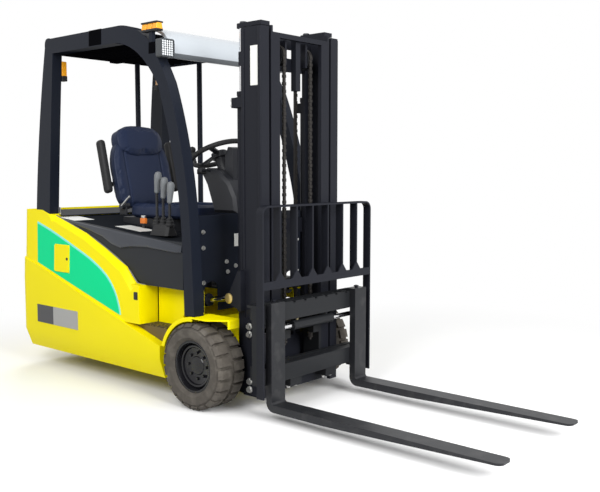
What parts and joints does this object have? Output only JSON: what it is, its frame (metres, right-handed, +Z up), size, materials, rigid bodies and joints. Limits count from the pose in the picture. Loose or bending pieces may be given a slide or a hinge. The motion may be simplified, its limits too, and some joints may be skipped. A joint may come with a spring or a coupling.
{
  "type": "three-wheel electric counterbalance forklift truck",
  "caption": "Compact battery forklift with a two-stage tilting mast, side-shift carriage, load backrest, overhead guard, driver's seat and a steered rear wheel pair under the counterweight.",
  "frame": {"origin": "centre of the whole truck's footprint, on the floor", "axes": "+X forward to the fork tips, +Y to the driver's left, +Z up"},
  "size_m": [3.39, 1.06, 2.0565],
  "materials": {
    "yellow_paint": "gloss yellow enamel",
    "black_cover": "glossy moulded black",
    "black_paint": "satin blue-black enamel",
    "fork_steel": "worn dark forged steel",
    "header_plastic": "pale grey translucent moulding",
    "black_plastic": "grained black",
    "lever_steel": "grey grips on black shafts",
    "tread_plate": "dark chequered plate",
    "seat_fabric": "dark navy vinyl",
    "lamp_lens": "clear lens over light units",
    "amber_lens": "amber lens",
    "tyre_rubber": "solid rubber",
    "rim_paint": "gloss black",
    "rod_chrome": "hard chrome",
    "chain_steel": "oiled steel",
    "battery_case": "grey enamel"
  },
  "bodies": {
    "truck": {"counterweight": "yellow_paint", "side_walls": "yellow_paint", "step_treads": "tread_plate", "chassis": "yellow_paint", "battery": "battery_case", "seat_hood": "black_cover", "floor_plate": "tread_plate", "bulkhead": "black_paint", "fenders": "yellow_paint", "guard_sides": "black_paint", "guard_roof": "black_paint", "guard_header": "header_plastic", "guard_posts": "black_paint", "work_lamps": "lamp_lens", "signal_lamps": "amber_lens", "seat_base": "black_plastic", "seat_cushion": "seat_fabric", "seat_back": "seat_fabric", "armrests": "black_plastic", "steering_cowl": "black_plastic", "lever_boot": "black_plastic", "levers": "lever_steel", "pedals": "black_plastic", "drive_units": "black_paint"},
    "front_wheel_right": {"front_tyre_right": "tyre_rubber", "front_rim_right": "rim_paint"},
    "front_wheel_left": {"front_tyre_left": "tyre_rubber", "front_rim_left": "rim_paint"},
    "steer_unit": {"steer_bogie": "black_paint"},
    "rear_wheels": {"rear_tyres": "tyre_rubber", "rear_rims": "rim_paint"},
    "hand_wheel": {"steering_wheel": "black_plastic"},
    "flap": {"charge_flap": "yellow_paint"},
    "mast_outer": {"outer_mast": "black_paint", "lift_barrels": "black_paint", "chains_fixed": "chain_steel"},
    "mast_inner": {"inner_mast": "black_paint", "lift_rods": "rod_chrome", "chain_pulleys": "chain_steel", "chains_front": "chain_steel", "chains_back": "chain_steel"},
    "lift_carriage": {"carriage": "black_paint"},
    "side_shift": {"side_shift_frame": "black_paint", "load_backrest": "black_paint", "forks": "fork_steel"},
    "tilt_barrel_pair": {"tilt_barrels": "black_paint"},
    "tilt_rod_pair": {"tilt_rods": "rod_chrome"}
  },
  "joints": [
    {"name": "front_wheel_right_spin", "type": "hinge", "parent": "truck", "child": "front_wheel_right", "pos_m": [-0.005, -0.435, 0.229], "axis": [0, 1, 0], "continuous": true},
    {"name": "front_wheel_left_spin", "type": "hinge", "parent": "truck", "child": "front_wheel_left", "pos_m": [-0.005, 0.435, 0.229], "axis": [0, 1, 0], "continuous": true},
    {"name": "steer_turn", "type": "hinge", "parent": "truck", "child": "steer_unit", "pos_m": [-1.295, 0, 0.3], "axis": [0, 0, 1], "range_deg": [-85, 85]},
    {"name": "rear_wheels_spin", "type": "hinge", "parent": "steer_unit", "child": "rear_wheels", "pos_m": [-1.295, 0, 0.19], "axis": [0, 1, 0], "continuous": true},
    {"name": "hand_wheel_turn", "type": "hinge", "parent": "truck", "child": "hand_wheel", "pos_m": [-0.323, 0, 1.318], "axis": [-0.4226, 0, 0.9063], "continuous": true},
    {"name": "flap_open", "type": "hinge", "parent": "truck", "child": "flap", "pos_m": [-1.293, -0.50353, 0.71024], "axis": [0, -0.0384, -0.9993], "range_deg": [0, 110]},
    {"name": "mast_tilt", "type": "hinge", "parent": "truck", "child": "mast_outer", "pos_m": [0.065, 0, 0.262], "axis": [0, 1, 0], "range_deg": [-6, 3]},
    {"name": "mast_lift", "type": "slide", "parent": "mast_outer", "child": "mast_inner", "axis": [0, 0, 1], "range_m": [0, 1.35]},
    {"name": "carriage_lift", "type": "slide", "parent": "mast_inner", "child": "lift_carriage", "axis": [0, 0, 1], "range_m": [0, 1.351], "deforming": ["chains_front"]},
    {"name": "side_shift_slide", "type": "slide", "parent": "lift_carriage", "child": "side_shift", "axis": [0, 1, 0], "range_m": [-0.1, 0.1]},
    {"name": "tilt_barrel_swing", "type": "hinge", "parent": "truck", "child": "tilt_barrel_pair", "pos_m": [-0.395, 0, 0.5], "axis": [0, 1, 0], "range_deg": [-0.96, 0.48]},
    {"name": "tilt_rod_slide", "type": "slide", "parent": "tilt_barrel_pair", "child": "tilt_rod_pair", "axis": [0.987, 0, 0.1608], "range_m": [-0.03423, 0.01717]}
  ],
  "couplings": [
    {"joint": "carriage_lift", "follows": "mast_lift", "ratio": 1},
    {"joint": "tilt_barrel_swing", "follows": "mast_tilt", "ratio": 0.15213},
    {"joint": "tilt_rod_slide", "follows": "mast_tilt", "m_per_rad": 0.31041}
  ]
}
